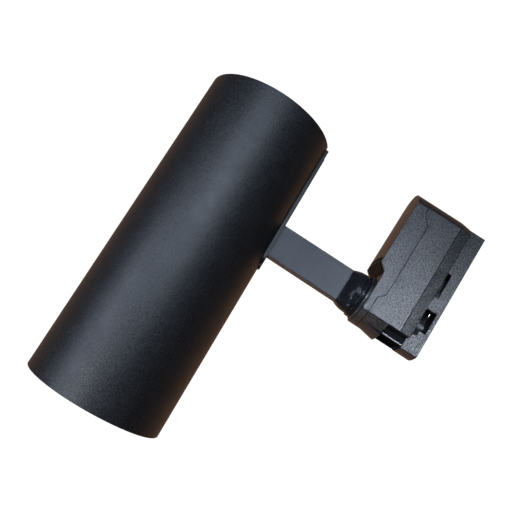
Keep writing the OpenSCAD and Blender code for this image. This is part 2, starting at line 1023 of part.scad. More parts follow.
// Crank arm and pin that hang from a shaft at the origin, with the pin towards +Y
module crank() {
  translate([0, 0, crank_z]) {
    cylinder(h = crank_t, r = 3);
    box([-2, 0, 0], [2, throw_r, crank_t]);
    translate([0, throw_r, 0])
      cylinder(h = crank_t, r = 2);
    translate([0, throw_r, link_z - crank_z])
      cylinder(h = crank_z - link_z + 0.1, r = pin_r);
  }
}

module lock_lever() {
  half = 2.65;
  z0 = recess_z + 1;
  z1 = -0.5;
  color([0.3, 0.3, 0.32])
    translate([lever_x, lever_y, 0])
      difference() {
        union() {
          translate([0, 0, z0])
            cylinder(h = z1 - z0, r = half);
          box([-half, -10.3, z0], [half, 0, z1]);
        }
        translate([0, 0, z0 - 1])
          cylinder(h = 30, r = shaft_r);
      }
}

module lock_shaft() {
  color([0.7, 0.7, 0.72])
    translate([lever_x, lever_y, 0]) {
      translate([0, 0, crank_z])
        cylinder(h = 1.6 - crank_z, r = shaft_r);
      crank();
    }
}

module link_bar() {
  holes = [
    [lever_x, lever_y + throw_r, pin_r + run_gap],
    [contact_x, rotor_y + throw_r, pin_r + 0.3],
    [tongue_x, rotor_y + throw_r, pin_r + 0.3]
  ];
  link_half = 2.4;
  knee = holes[1];
  slant = atan2(holes[0][1] - knee[1], holes[0][0] - knee[0]);
  reach = norm([holes[0][0] - knee[0], holes[0][1] - knee[1]]);
  color([0.72, 0.73, 0.75])
    translate([0, 0, link_z])
      difference() {
        union() {
          for (h = holes)
            translate([h[0], h[1], 0])
              cylinder(h = crank_t, r = link_half);
          box([tongue_x, knee[1] - link_half, 0], [knee[0], knee[1] + link_half, crank_t]);
          translate([knee[0], knee[1], 0])
            rotate([0, 0, slant])
              box([0, -link_half, 0], [reach, link_half, crank_t]);
        }
        for (h = holes)
          translate([h[0], h[1], -1])
            cylinder(h = 5, r = h[2]);
      }
}

module contact_rotor() {
  color([0.45, 0.46, 0.48])
    translate([contact_x, rotor_y, 0]) {
      translate([0, 0, crank_z])
        cylinder(h = 1 - crank_z, r = shaft_r);
      translate([0, 0, 0.6])
        cylinder(h = 5.6, r = 2.75);
      crank();
    }
}

module contact_finger() {
  color([0.85, 0.85, 0.86])
    translate([contact_x, rotor_y, 0]) {
      box([-7.2, -1.9, 3.4], [-2.6, -0.9, 5.9]);
      box([-10, -2.6, 5.2], [-4.2, -0.9, 5.9]);
    }
}

module tongue_rotor() {
  color([0.2, 0.2, 0.21])
    translate([tongue_x, rotor_y, 0]) {
      translate([0, 0, crank_z])
        cylinder(h = 2.3 - crank_z, r = shaft_r);
      translate([0, 0, 3.6])
        cylinder(h = 3, r = 2.6);
      crank();
    }
}

module lock_tongue() {
  color([0.75, 0.76, 0.78])
    translate([tongue_x, rotor_y, 2.3])
      union() {
        box([-10, -2, 0], [0, 2, 1.2]);
        cylinder(h = 1.3, r = 2.6);
      }
}

module selector_slide() {
  sunk = 0.9;
  top_x = step_x + step_rise;
  low_z = -base_drop + sunk;
  high_z = -front_drop + sunk;
  x0 = step_x - 3.4;
  rib_z = -base_drop - 0.7;
  color([0.09, 0.09, 0.095]) {
    across_y([
      [x0, low_z - 0.6], [step_x - sunk - 0.6, low_z - 0.6], [top_x - sunk, high_z],
      [top_x + 0.8, high_z], [top_x + 0.8, high_z + 2], [top_x - 1.4, high_z + 2],
      [step_x - 2.4, low_z + 1.8], [x0, low_z + 1.8]
    ], slide_half);
    box([x0 - 4, -slide_half, low_z + 1.9], [x0 + 2, slide_half, low_z + 2.9]);
    for (i = [0 : rib_count - 1])
      translate([0, (i - (rib_count - 1) / 2) * (2 * slide_half - rib_w) / (rib_count - 1), 0])
        across_y([
          [step_x - 2.6, rib_z], [rib_z + base_drop + step_x, rib_z],
          [top_x + 0.1, -front_drop + 0.1], [top_x + 0.1, high_z + 0.1], [step_x - 2.6, low_z]
        ], rib_w / 2);
  }
}

tube_housing();
rear_cap();
rear_cap_screws();
tube_screws();
arm_channel();
tilt_bolt();
tilt_nut();
friction_washers();
channel_grommet();
head_leads();
tie_rods();
driver_brackets();
driver_case();
driver_lid();
driver_board();
transformer();
capacitors();
driver_terminals();
heat_sink();
thermal_pad();
led_board();
led_phosphor();
led_holder();
holder_screws();
led_leads();
reflector();
glass_gasket();
front_glass();
retaining_ring();
front_bezel();
arm_bar();
knuckle_shell();
arm_screws();
swivel_ring();
swivel_stem();
thrust_washer();
stem_nut();
arm_leads();
adapter_base();
adapter_body();
track_insert();
mechanism_plate();
terminal_block();
terminal_screws();
adapter_leads();
housing_screws();
earth_contact();
detent_spring();
lock_lever();
lock_shaft();
link_bar();
contact_rotor();
contact_finger();
tongue_rotor();
lock_tongue();
selector_slide();
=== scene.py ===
# %% [markdown]
# # A cylinder track spotlight
# The real lamp is a powder-coated tube on a flat folding arm, hung from a moulded track adapter.
# Its frame, joints and sizes come from a CAD model that is loaded first and never moved. The
# lesson gives every piece its finish, and models again the pieces whose look needs more than CAD
# gives.

# %% Load the frame
import json
import math

import bmesh
import bpy
from mathutils import Matrix, Vector


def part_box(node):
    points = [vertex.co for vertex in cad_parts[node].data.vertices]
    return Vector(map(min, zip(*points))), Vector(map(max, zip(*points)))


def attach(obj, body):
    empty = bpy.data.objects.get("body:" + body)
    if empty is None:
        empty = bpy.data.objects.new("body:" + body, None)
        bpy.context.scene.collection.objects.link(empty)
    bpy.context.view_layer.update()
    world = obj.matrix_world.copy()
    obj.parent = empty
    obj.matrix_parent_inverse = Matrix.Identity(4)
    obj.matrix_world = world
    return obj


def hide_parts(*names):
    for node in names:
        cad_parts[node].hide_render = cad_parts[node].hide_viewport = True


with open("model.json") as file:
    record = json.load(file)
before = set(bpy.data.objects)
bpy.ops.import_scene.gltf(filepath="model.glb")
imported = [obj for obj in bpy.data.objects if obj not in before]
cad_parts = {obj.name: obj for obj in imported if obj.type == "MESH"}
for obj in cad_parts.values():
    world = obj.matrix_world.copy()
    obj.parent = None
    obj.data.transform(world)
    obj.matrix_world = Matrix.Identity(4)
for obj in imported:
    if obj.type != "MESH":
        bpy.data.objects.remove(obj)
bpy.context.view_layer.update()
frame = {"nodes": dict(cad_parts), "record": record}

MM = 0.001
nodes = frame["nodes"]

# %% [markdown]
# ## The camera
# A lamp on a table is looked at from close by, so its near end looks bigger. The camera stands
# 34 cm away, turned on its side, and is aimed with a tracking rotation and a roll. An empty with a
# Track To constraint would do the same, but plain numbers are easier to read back.

# %% Camera
CAMERA_SPOT = Vector((78.3, -339.9, -84.1)) * MM
CAMERA_AIM = Vector((14.3, 0.0, -101.35)) * MM
CAMERA_ROLL = math.radians(123.34)
CAMERA_LENS = 39.65
CLIP_NEAR, CLIP_FAR = 0.01, 50


def add_camera():
    data = bpy.data.cameras.new("camera")
    data.lens = CAMERA_LENS
    data.clip_start, data.clip_end = CLIP_NEAR, CLIP_FAR
    camera = bpy.data.objects.new("camera", data)
    bpy.context.scene.collection.objects.link(camera)
    aim = (CAMERA_AIM - CAMERA_SPOT).to_track_quat("-Z", "Y").to_matrix()
    turn = aim @ Matrix.Rotation(CAMERA_ROLL, 3, "Z")
    camera.matrix_world = Matrix.Translation(CAMERA_SPOT) @ turn.to_4x4()
    bpy.context.scene.camera = camera
    return camera


camera = add_camera()
print("camera distance in mm:", round((CAMERA_AIM - CAMERA_SPOT).length / MM))

# %% [markdown]
# ## The room
# A black object shows nothing but what it reflects. The room is dim grey in front and warm behind,
# which gives the brown edges. Painted walls would do the same, but a world that turns from one
# colour to the other along Y is simpler. It is white to the camera and dim to everything else, so
# that the black stays black on a white table.

# %% World
ROOM_GREY = (0.026, 0.027, 0.033)
ROOM_WARM = (0.46, 0.27, 0.18)
GREY_UNTIL, WARM_FROM = -0.1, 0.75
WHITE_GLOW = 1.05


def set_world():
    world = bpy.data.worlds.new("room")
    bpy.context.scene.world = world
    world.use_nodes = True
    tree = world.node_tree
    tree.nodes.clear()
    coords = tree.nodes.new("ShaderNodeTexCoord")
    split = tree.nodes.new("ShaderNodeSeparateXYZ")
    ramp = tree.nodes.new("ShaderNodeMapRange")
    ramp.inputs["From Min"].default_value = GREY_UNTIL
    ramp.inputs["From Max"].default_value = WARM_FROM
    tint = tree.nodes.new("ShaderNodeMix")
    tint.data_type = "RGBA"
    tint.inputs["A"].default_value = (*ROOM_GREY, 1)
    tint.inputs["B"].default_value = (*ROOM_WARM, 1)
    dim = tree.nodes.new("ShaderNodeBackground")
    plain = tree.nodes.new("ShaderNodeBackground")
    plain.inputs["Color"].default_value = (1, 1, 1, 1)
    plain.inputs["Strength"].default_value = WHITE_GLOW
    path = tree.nodes.new("ShaderNodeLightPath")
    choose = tree.nodes.new("ShaderNodeMixShader")
    out = tree.nodes.new("ShaderNodeOutputWorld")
    link = tree.links.new
    link(coords.outputs["Generated"], split.inputs[0])
    link(split.outputs["Y"], ramp.inputs["Value"])
    link(ramp.outputs["Result"], tint.inputs["Factor"])
    link(tint.outputs["Result"], dim.inputs["Color"])
    link(path.outputs["Is Camera Ray"], choose.inputs["Fac"])
    link(dim.outputs[0], choose.inputs[1])
    link(plain.outputs[0], choose.inputs[2])
    link(choose.outputs[0], out.inputs["Surface"])


set_world()
bpy.context.scene.view_settings.view_transform = "Standard"
print("room:", bpy.context.scene.world.name, "glow:", WHITE_GLOW)

# %% [markdown]
# ## The floor
# The floor is a plain pale sheet far below the lamp. It glows as white as the world, so that no
# horizon shows, and it is kept out of reflections, because a real white table would flood a black
# tube with light.

# %% Floor
FLOOR_DROP = 0.55
FLOOR_HALF_SIDE = 20
FLOOR_GREY = (0.02, 0.02, 0.02, 1)
FLOOR_ROUGHNESS = 0.9


def add_floor():
    bm = bmesh.new()
    bmesh.ops.create_grid(bm, x_segments=1, y_segments=1, size=FLOOR_HALF_SIDE)
    bmesh.ops.translate(bm, verts=bm.verts, vec=(0, 0, -FLOOR_DROP))
    mesh = bpy.data.meshes.new("floor")
    bm.to_mesh(mesh)
    bm.free()
    floor = bpy.data.objects.new("floor", mesh)
    bpy.context.scene.collection.objects.link(floor)
    material = bpy.data.materials.new("pale_floor")
    material.use_nodes = True
    shader = material.node_tree.nodes["Principled BSDF"]
    shader.inputs["Base Color"].default_value = FLOOR_GREY
    shader.inputs["Roughness"].default_value = FLOOR_ROUGHNESS
    shader.inputs["Emission Color"].default_value = (1, 1, 1, 1)
    shader.inputs["Emission Strength"].default_value = WHITE_GLOW
    mesh.materials.append(material)
    floor.visible_diffuse = False
    floor.visible_glossy = False
    return floor


floor = add_floor()
print("floor half side in m:", FLOOR_HALF_SIDE, "at z:", -FLOOR_DROP)

# %% [markdown]
# ## The lights
# Three soft boxes stand in for windows. Two give the long sheen on the tube and on the adapter's
# flank, and the third, narrowed to a beam, lifts the top of the adapter. Three small lamps put
# the glints on the glossy collar. Sun lamps would leave hard streaks on a tube, so all are areas.

# %% Soft boxes
COOL = (0.68, 0.80, 1.0)
COOL_LOW = (0.68, 0.78, 1.0)
PALE_BLUE = (0.80, 0.87, 1.0)
NEAR_WHITE = (0.9, 0.95, 1.0)
LAMP_WHITE = (1.0, 0.97, 0.92)
BEAM = 20


def add_softbox(name, spot, aim, size, watts, colour, spread=180):
    """An oblong area light; spot and aim in mm, size as (width, height) in mm."""
    data = bpy.data.lights.new(name, "AREA")
    data.shape = "RECTANGLE"
    data.size, data.size_y = [side * MM for side in size]
    data.energy = watts
    data.color = colour
    data.spread = math.radians(spread)
    light = bpy.data.objects.new(name, data)
    bpy.context.scene.collection.objects.link(light)
    light.location = Vector(spot) * MM
    facing = Vector(aim) - Vector(spot)
    light.rotation_euler = facing.to_track_quat("-Z", "Y").to_euler()
    return light


add_softbox("window", (-115, -520, -165), (20, 0, -125), (260, 380), 2.35, COOL)
add_softbox("low_window", (130, -390, -460), (60, 0, -150), (280, 280), 1.6, COOL_LOW)
add_softbox("high_window", (-60, -495, 105), (18, -17, -2), (100, 100), 0.035, PALE_BLUE,
            spread=BEAM)
add_softbox("side_glint", (262, -300, -226), (6, -10, -42), (56, 32), 0.45, NEAR_WHITE)
add_softbox("end_glint", (600, -70, -62), (10, -8, -42), (36, 20), 0.45, LAMP_WHITE)
add_softbox("rear_glint", (-440, 235, -140), (-10, -8, -45), (40, 40), 0.10, LAMP_WHITE)
lamps = [thing for thing in bpy.context.scene.objects if thing.type == "LIGHT"]
print("lights:", len(lamps), "watts in all:", round(sum(lamp.data.energy for lamp in lamps), 2))

# %% [markdown]
# ## Finishes
# Every finish is one Principled shader with its own grain. The grain is noise on Object
# coordinates: all the meshes lie in one frame in metres, so a scale of 2000 means half a
# millimetre. Grain drives a bump for the relief, and the roughness and colour for the mottling.
# A painted texture could carry the same, but noise has no seams and stays sharp up close.

# %% Nodes that every finish uses
FINE_DETAIL, CLOUD_DETAIL = 2, 4
NOISE_ROUGHNESS = 0.6


def add_noise(tree, coords, size, detail):
    """Noise whose grains are about size mm across."""
    noise = tree.nodes.new("ShaderNodeTexNoise")
    noise.inputs["Scale"].default_value = 1 / (size * MM)
    noise.inputs["Detail"].default_value = detail
    noise.inputs["Roughness"].default_value = NOISE_ROUGHNESS
    tree.links.new(coords, noise.inputs["Vector"])
    return noise.outputs["Fac"]


def add_blend(tree, low, high, share):
    blend = tree.nodes.new("ShaderNodeMix")
    blend.inputs["Factor"].default_value = share
    tree.links.new(low, blend.inputs["A"])
    tree.links.new(high, blend.inputs["B"])
    return blend.outputs["Result"]


def add_range(tree, value, span, reach):
    """Stretch a value that runs over span so that it runs over reach."""
    node = tree.nodes.new("ShaderNodeMapRange")
    node.inputs["From Min"].default_value, node.inputs["From Max"].default_value = span
    node.inputs["To Min"].default_value, node.inputs["To Max"].default_value = reach
    tree.links.new(value, node.inputs["Value"])
    return node.outputs["Result"]


# %% A finish from a few numbers
FINE_SHARE = 0.6
ROUGH_SWING = 0.15
BLEND_SPAN = (0.35, 0.65)
GRAIN_SPAN = (0.36, 0.64)
MIRROR_LIMIT = 0.02
made = {}


def finish(
    name, colour, rough, metal=0.0, grain=0.5, relief=0.01, mottle=0.15, spec=0.5, patch=9.0,
    smear=(1, 1, 1), speck=0.0
):
    """A grained material; grain, relief and patch are in mm, smear stretches the grain.

    speck is how far the sheen goes up and down from grain to grain, as a share of spec.
    """
    material = bpy.data.materials.new(name)
    material.use_nodes = True
    tree = material.node_tree
    shader = tree.nodes["Principled BSDF"]
    link = tree.links.new
    coords = tree.nodes.new("ShaderNodeTexCoord")
    place = tree.nodes.new("ShaderNodeMapping")
    place.inputs["Scale"].default_value = smear
    link(coords.outputs["Object"], place.inputs["Vector"])
    fine = add_noise(tree, place.outputs[0], grain, FINE_DETAIL)
    cloud = add_noise(tree, place.outputs[0], patch, CLOUD_DETAIL)
    blend = add_blend(tree, cloud, fine, FINE_SHARE)

    shade = tree.nodes.new("ShaderNodeMix")
    shade.data_type = "RGBA"
    shade.clamp_factor = True
    shade.inputs["A"].default_value = (*[c * (1 - mottle) for c in colour], 1)
    shade.inputs["B"].default_value = (*[min(c * (1 + mottle), 1) for c in colour], 1)
    link(blend, shade.inputs["Factor"])
    link(shade.outputs["Result"], shader.inputs["Base Color"])

    smoothest = max(rough * (1 - ROUGH_SWING), MIRROR_LIMIT)
    dullest = min(rough * (1 + ROUGH_SWING), 1.0)
    link(add_range(tree, blend, BLEND_SPAN, (smoothest, dullest)), shader.inputs["Roughness"])

    bump = tree.nodes.new("ShaderNodeBump")
    bump.inputs["Strength"].default_value = 1.0
    bump.inputs["Distance"].default_value = relief * MM
    link(fine, bump.inputs["Height"])
    link(bump.outputs["Normal"], shader.inputs["Normal"])

    shader.inputs["Metallic"].default_value = metal
    shader.inputs["Specular IOR Level"].default_value = spec
    if speck:
        sheen = add_range(tree, fine, GRAIN_SPAN, (spec * (1 - speck), spec * (1 + speck)))
        link(sheen, shader.inputs["Specular IOR Level"])
    made[name] = material
    return material


# %% [markdown]
# ## The black finishes
# The lamp is black all over, yet no two of its blacks are alike. Powder coat is baked grain, the
# arm is smooth satin, the collar is polished and the adapter is eroded plastic that glitters.
# Colour alone can't tell them apart, so each gets its own grain, relief and sheen.

# %% Black finishes
finish("powder_black", (0.006, 0.0063, 0.0072), 0.48, grain=0.9, relief=0.07, mottle=0.5,
       speck=0.25)
finish("channel_black", (0.008, 0.008, 0.009), 0.34, grain=0.5, relief=0.01, spec=0.2)
finish("arm_satin", (0.014, 0.0165, 0.022), 0.40, grain=0.9, relief=0.04, mottle=0.3, spec=0.30,
       speck=0.12)
finish("collar_gloss", (0.009, 0.009, 0.0115), 0.17, grain=0.6, relief=0.0004, mottle=0.05,
       spec=0.12)
finish("eroded_black", (0.009, 0.0095, 0.011), 0.42, grain=0.8, relief=0.12, mottle=0.5,
       spec=0.60, speck=0.65)
finish("moulded_black", (0.012, 0.012, 0.012), 0.42, grain=0.5, relief=0.02)
finish("grip_black", (0.004, 0.004, 0.003), 0.36, grain=0.4, relief=0.02, spec=0.06)
# The lever's own near-black finish, also used to paint shade on the adapter's seams and lever
# recess.
finish("lever_grey", (0.008, 0.008, 0.0095), 0.50, grain=0.6, relief=0.01, spec=0.0)
# A pale grey finish that paints a highlight on the lever's leading edge.
finish("painted_highlight_edge", (0.30, 0.30, 0.32), 0.30, grain=0.4, relief=0.01, mottle=0.3)
finish("tongue_grey", (0.012, 0.012, 0.013), 0.40, grain=0.5, relief=0.01, spec=0.15)
finish("rotor_grey", (0.05, 0.053, 0.058), 0.40, grain=0.5, relief=0.02, spec=0.3)
finish("seal_rubber", (0.012, 0.012, 0.012), 0.7, grain=0.7, relief=0.02)
finish("bezel_black", (0.010, 0.010, 0.011), 0.5, grain=0.5, relief=0.02)
print("black finishes:", len(made))

# %% [markdown]
# ## The finishes of the inner parts
# Metals, boards, wires and the reflector show when the lens end or the windows face the viewer.
# They are the same shader with other numbers: full metal for bare metals, none for the rest.

# %% Metals
finish("silver_contact", (0.80, 0.80, 0.82), 0.22, metal=1.0, grain=0.7, relief=0.003)
finish("zinc_steel", (0.55, 0.56, 0.59), 0.32, metal=1.0, grain=0.8, relief=0.008)
finish("black_steel", (0.03, 0.03, 0.033), 0.3, metal=0.8, grain=0.8, relief=0.008)
finish("turned_aluminium", (0.66, 0.67, 0.69), 0.28, metal=1.0, grain=1.0, relief=0.006,
       smear=(6, 1, 1))
finish("cast_aluminium", (0.45, 0.46, 0.48), 0.5, metal=1.0, grain=1.0, relief=0.05)
finish("brass", (0.66, 0.46, 0.18), 0.28, metal=1.0, grain=1.0, relief=0.008)
finish("bright_reflector", (0.86, 0.86, 0.88), 0.10, metal=1.0, grain=1.5, relief=0.004,
       mottle=0.05)

# %% Plastics, boards and wires
finish("nylon", (0.66, 0.63, 0.52), 0.45, grain=1.0, relief=0.01)
finish("wire_grey", (0.42, 0.40, 0.37), 0.5, grain=1.2, relief=0.01)
finish("wire_red", (0.40, 0.03, 0.02), 0.45, grain=1.2, relief=0.01)
finish("driver_white", (0.66, 0.66, 0.64), 0.45, grain=0.7, relief=0.02, mottle=0.05)
finish("board_green", (0.02, 0.13, 0.05), 0.35, grain=1.5, relief=0.01)
finish("coil_tape", (0.62, 0.42, 0.08), 0.4, grain=2.0, relief=0.02)
finish("shrink_sleeve", (0.02, 0.02, 0.07), 0.25, grain=2.0, relief=0.01)
finish("pad_grey", (0.30, 0.33, 0.37), 0.6, grain=0.7, relief=0.03)
finish("ceramic_white", (0.80, 0.80, 0.78), 0.3, grain=1.0, relief=0.01, mottle=0.04)
finish("phosphor", (0.90, 0.62, 0.08), 0.55, grain=0.6, relief=0.02)


# %% Glass
def clear_glass():
    material = finish("clear_glass", (0.96, 0.98, 0.98), 0.03, grain=5, relief=0.001, mottle=0)
    shader = material.node_tree.nodes["Principled BSDF"]
    shader.inputs["Transmission Weight"].default_value = 1.0
    shader.inputs["IOR"].default_value = 1.45
    return material


clear_glass()
print("finishes:", len(made))

# %% [markdown]
# ## Who wears what
# Every node of the CAD model gets a finish here, also those that a better piece replaces later,
# so that nothing is ever left bare. A table of names is easier to check than forty calls.

# %% Which node wears which finish
WORN = {
    "powder_black": ["tube_housing", "rear_cap"],
    "channel_black": ["arm_channel"],
    "arm_satin": ["arm_bar"],
    "collar_gloss": ["knuckle_shell", "swivel_ring"],
    "eroded_black": ["adapter_base", "adapter_body", "track_insert"],
    "moulded_black": ["mechanism_plate"],
    "grip_black": ["selector_slide"],
    "lever_grey": ["lock_lever"],
    "rotor_grey": ["contact_rotor", "tongue_rotor"],
    "tongue_grey": ["lock_tongue"],
    "silver_contact": ["contact_finger"],
    "zinc_steel": [
        "rear_cap_screws", "tilt_bolt", "tilt_nut", "arm_screws", "swivel_stem", "thrust_washer",
        "stem_nut", "housing_screws", "holder_screws", "lock_shaft", "link_bar",
        "detent_spring", "driver_brackets"
    ],
    "black_steel": ["tube_screws"],
    "nylon": ["friction_washers"],
    "seal_rubber": ["channel_grommet", "glass_gasket"],
    "wire_grey": ["head_leads", "arm_leads", "adapter_leads"],
    "wire_red": ["led_leads"],
    "turned_aluminium": ["tie_rods"],
    "cast_aluminium": ["heat_sink"],
    "driver_white": [
        "driver_case", "driver_lid", "driver_terminals", "terminal_block", "led_holder"
    ],
    "board_green": ["driver_board"],
    "coil_tape": ["transformer"],
    "shrink_sleeve": ["capacitors"],
    "pad_grey": ["thermal_pad"],
    "ceramic_white": ["led_board"],
    "phosphor": ["led_phosphor"],
    "bright_reflector": ["reflector"],
    "clear_glass": ["front_glass"],
    "bezel_black": ["front_bezel", "retaining_ring"],
    "brass": ["terminal_screws", "earth_contact"],
}


def wear(piece, name):
    piece.data.materials.clear()
    piece.data.materials.append(made[name])


for name, members in WORN.items():
    for member in members:
        wear(nodes[member], name)
bare = sorted(set(nodes) - {m for members in WORN.values() for m in members})
print("nodes without a finish:", bare)

# %% [markdown]
# ## A mesh becomes a piece
# Whatever is modelled in a bmesh ends as an object that rides on one body of the frame. Smooth
# shading with sharp creases keeps rounds round and corners crisp.

# %% Adding a piece
def add_piece(name, bm, finish_name, body, replaces=(), smooth=35):
    """Turn a bmesh into a piece that rides on a body; edges over smooth degrees stay sharp."""
    mesh = bpy.data.meshes.new(name)
    bm.to_mesh(mesh)
    bm.free()
    mesh.materials.append(made[finish_name])
    for face in mesh.polygons:
        face.use_smooth = True
    mesh.set_sharp_from_angle(angle=math.radians(smooth))
    piece = bpy.data.objects.new(name, mesh)
    bpy.context.scene.collection.objects.link(piece)
    if replaces:
        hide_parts(*replaces)
    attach(piece, body)
    print(piece.name, "faces:", len(mesh.polygons))
    return piece


# %% [markdown]
# ## Soft edges
# No real edge is a knife edge: a moulding has a small radius, and that radius is where black
# plastic catches light. A copy of a CAD mesh is welded, its flat faces are made whole again, and
# its edges are rounded. The weighted normals keep the big flats flat beside their narrow rounds.

# %% Flat faces made whole
WELD = 0.002
FLAT_WITHIN = math.radians(0.4)


def whole_faces(name):
    """A welded copy of a node, its triangles dissolved into the flats they came from."""
    bm = bmesh.new()
    bm.from_mesh(nodes[name].data)
    bmesh.ops.remove_doubles(bm, verts=bm.verts, dist=WELD * MM)
    bmesh.ops.dissolve_limit(
        bm, angle_limit=FLAT_WITHIN, use_dissolve_boundaries=False, verts=bm.verts,
        edges=bm.edges
    )
    return bm


# %% Which edges to round
CREASE = math.radians(28)
SQUARE_CORNER = math.radians(60)
NEARLY_ALONG = 0.99
SAME_LEVEL = 0.05


def is_crease(edge):
    return edge.calc_face_angle(0) > CREASE


def is_upright(edge):
    along = edge.verts[1].co - edge.verts[0].co
    stands = abs(along.z) > NEARLY_ALONG * along.length
    return stands and edge.calc_face_angle(0) > SQUARE_CORNER


def lies_at(edge, heights):
    """Whether both ends of an edge lie at one of the heights, in mm."""
    ends = [vert.co.z / MM for vert in edge.verts]
    return any(max(abs(z - height) for z in ends) < SAME_LEVEL for height in heights)


def comes_near(edge, heights, reach):
    """Whether either end of an edge is within reach of one of the heights, in mm."""
    ends = [vert.co.z / MM for vert in edge.verts]
    return any(abs(z - height) < reach for z in ends for height in heights)


# %% Rounding the edges
ROUND_STEPS = 2


def round_edges(bm, radius, chosen):
    edges = [edge for edge in bm.edges if len(edge.link_faces) == 2 and chosen(edge)]
    bmesh.ops.bevel(
        bm, geom=edges, offset=radius * MM, offset_type="OFFSET", segments=ROUND_STEPS,
        profile=0.5, affect="EDGES", clamp_overlap=True, material=-1
    )
    return len(edges)


# %% Replacing a node by its rounded copy
FOLD_Z, FOLD_RADIUS, FOLD_CLEARANCE = -6.9, 0.25, 0.4
RIM_RADIUS, RIM_CLEARANCE = 0.6, 0.02
FLATNESS_WEIGHT = 60

record = frame["record"]
BODY_OF = {
    node: body for body, members in record["behaviour"]["bodies"].items() for node in members
}


def refine(name, radius, finish_name, folds=(), rims=(), upright=0.0):
    """Replace a CAD node by its rounded copy.

    folds are heights in mm of shallow creases that show as seams, rims of broader rounds.
    upright is the radius of the square vertical edges, where it isn't the common one. Broad
    rounds come first, because a short edge beside them would hold them back.
    """
    bm = whole_faces(name)
    count = 0
    if upright:
        count += round_edges(bm, upright, is_upright)
    if rims:
        count += round_edges(
            bm, RIM_RADIUS, lambda edge: is_crease(edge) and lies_at(edge, rims))
    if folds:
        count += round_edges(bm, FOLD_RADIUS, lambda edge: lies_at(edge, folds))
    count += round_edges(
        bm, radius, lambda edge: is_crease(edge)
        and not comes_near(edge, rims, RIM_RADIUS + RIM_CLEARANCE)
        and not comes_near(edge, folds, FOLD_CLEARANCE))
    piece = add_piece(name + "_soft", bm, finish_name, BODY_OF[name],
                      replaces=[name], smooth=50)
    normals = piece.modifiers.new("keep_flat", "WEIGHTED_NORMAL")
    normals.keep_sharp = True
    normals.weight = FLATNESS_WEIGHT
    print("  rounded edges:", count)
    return piece


# %% [markdown]
# ## A second finish on some faces
# Where two mouldings meet and in the recess behind the lever, a dark finish paints in shade, and
# a pale finish on the lever's leading edge paints in a highlight. A mask could be painted, but
# these borders follow real edges, so whole faces take the other finish.

# %% Faces for a second finish
SEAM_LIE, SHOULDER_LIE = 0.3, 0.98
SHOULDER_DEPTH = 0.55
LEADING_WITHIN = math.radians(25)
RECESS_X, RECESS_Y, RECESS_FACING = 8, -12, -0.9


def second_finish(piece, finish_name, chosen):
    """Give the chosen faces of a piece another finish than the rest."""
    piece.data.materials.append(made[finish_name])
    faces = [face for face in piece.data.polygons if chosen(face)]
    for face in faces:
        face.material_index = len(piece.data.materials) - 1
    print("  faces of", piece.name, "in", finish_name + ":", len(faces))


def faces_front_left(face):
    return face.normal.angle(Vector((1, -1, 0))) < LEADING_WITHIN


def in_seam_shade(face):
    """Painted shade on the round along the fold and on the round of the shoulder."""
    depth = face.center.z / MM
    at_fold = abs(depth - FOLD_Z) < FOLD_RADIUS and abs(face.normal.z) < SEAM_LIE
    at_shoulder = depth > -SHOULDER_DEPTH and SEAM_LIE < face.normal.z < SHOULDER_LIE
    return at_fold or at_shoulder


# Painted shade: faces in the recess behind the lever, darkened by the dark finish.
def in_lever_recess_shade(face):
    x, y, _ = face.center / MM
    return x > RECESS_X and y > RECESS_Y and face.normal.y < RECESS_FACING


def in_painted_shade(face):
    return in_lever_recess_shade(face) or in_seam_shade(face)


# %% [markdown]
# ## The adapter and its lever
# The adapter's halves and the part that enters the track are one eroded plastic, so they share a
# radius of about a third of a millimetre. The lever is handled, so its upright edges are rounder.
# Modelling them again from nothing would only copy the CAD, so their copies are rounded instead.

# %% Rounded pieces of the adapter
refine("adapter_base", 0.35, "eroded_black")
body = refine("adapter_body", 0.35, "eroded_black", folds=[FOLD_Z], rims=[0.0])
# Painted shade: the seam rounds and the recess behind the lever take the dark finish.
second_finish(body, "lever_grey", in_painted_shade)
refine("track_insert", 0.3, "eroded_black")
lever = refine("lock_lever", 0.3, "lever_grey", upright=0.6)
# Painted highlight: a pale finish on the lever's leading edge stands in for the glint of a light.
second_finish(lever, "painted_highlight_edge", faces_front_left)

# %% [markdown]
# ## The arm, the channel and the cap
# The arm is a drawn bar, the channel is folded sheet and the cap is cast, and each has the small
# round that its making leaves. One radius does for the three, in three finishes.

# %% Rounded pieces of the arm and the head
refine("arm_bar", 0.3, "arm_satin")
refine("arm_channel", 0.3, "channel_black")
refine("rear_cap", 0.3, "powder_black")

# %% [markdown]
# ## The thumb piece
# Its ribs are finer than a millimetre, so they could be a bump pattern, but real ribs keep their
# shape from every side. They get a much smaller round than the rest, or they would melt together.

# %% Rounded thumb piece
refine("selector_slide", 0.12, "grip_black")

# %% [markdown]
# ## The driver's case
# The white case inside the tube and its lid are moulded with soft corners. They show only when
# the tube is taken off, so plain bevels are enough.

# %% Rounded driver case
refine("driver_case", 0.5, "driver_white")
refine("driver_lid", 0.4, "driver_white")

# %% [markdown]
# ## The contact blade
# The contact in the window is a thin bent strip of silver-plated brass. Its root is dull where it
# is clamped and its tip is bright where the track's conductor wipes it. A curve with a bevel could
# make a strip, but not one that narrows, so upright sections are set along a short path of corners
# and bridged one to the next.

# %% Sections bridged into a solid
def add_section(bm, points):
    """A closed loop of edges through points in mm."""
    corners = [bm.verts.new(point * MM) for point in points]
    return [bm.edges.new(pair) for pair in zip(corners, corners[1:] + corners[:1])]


def bridge_sections(sections, closed):
    """Bridge each section to the next, and the last to the first where the piece has a bore."""
    bm = bmesh.new()
    loops = [add_section(bm, section) for section in sections]
    following = loops[1:] + loops[:1] if closed else loops[1:]
    for low, high in zip(loops, following):
        bmesh.ops.bridge_loops(bm, edges=low + high)
    bmesh.ops.recalc_face_normals(bm, faces=bm.faces)
    return bm


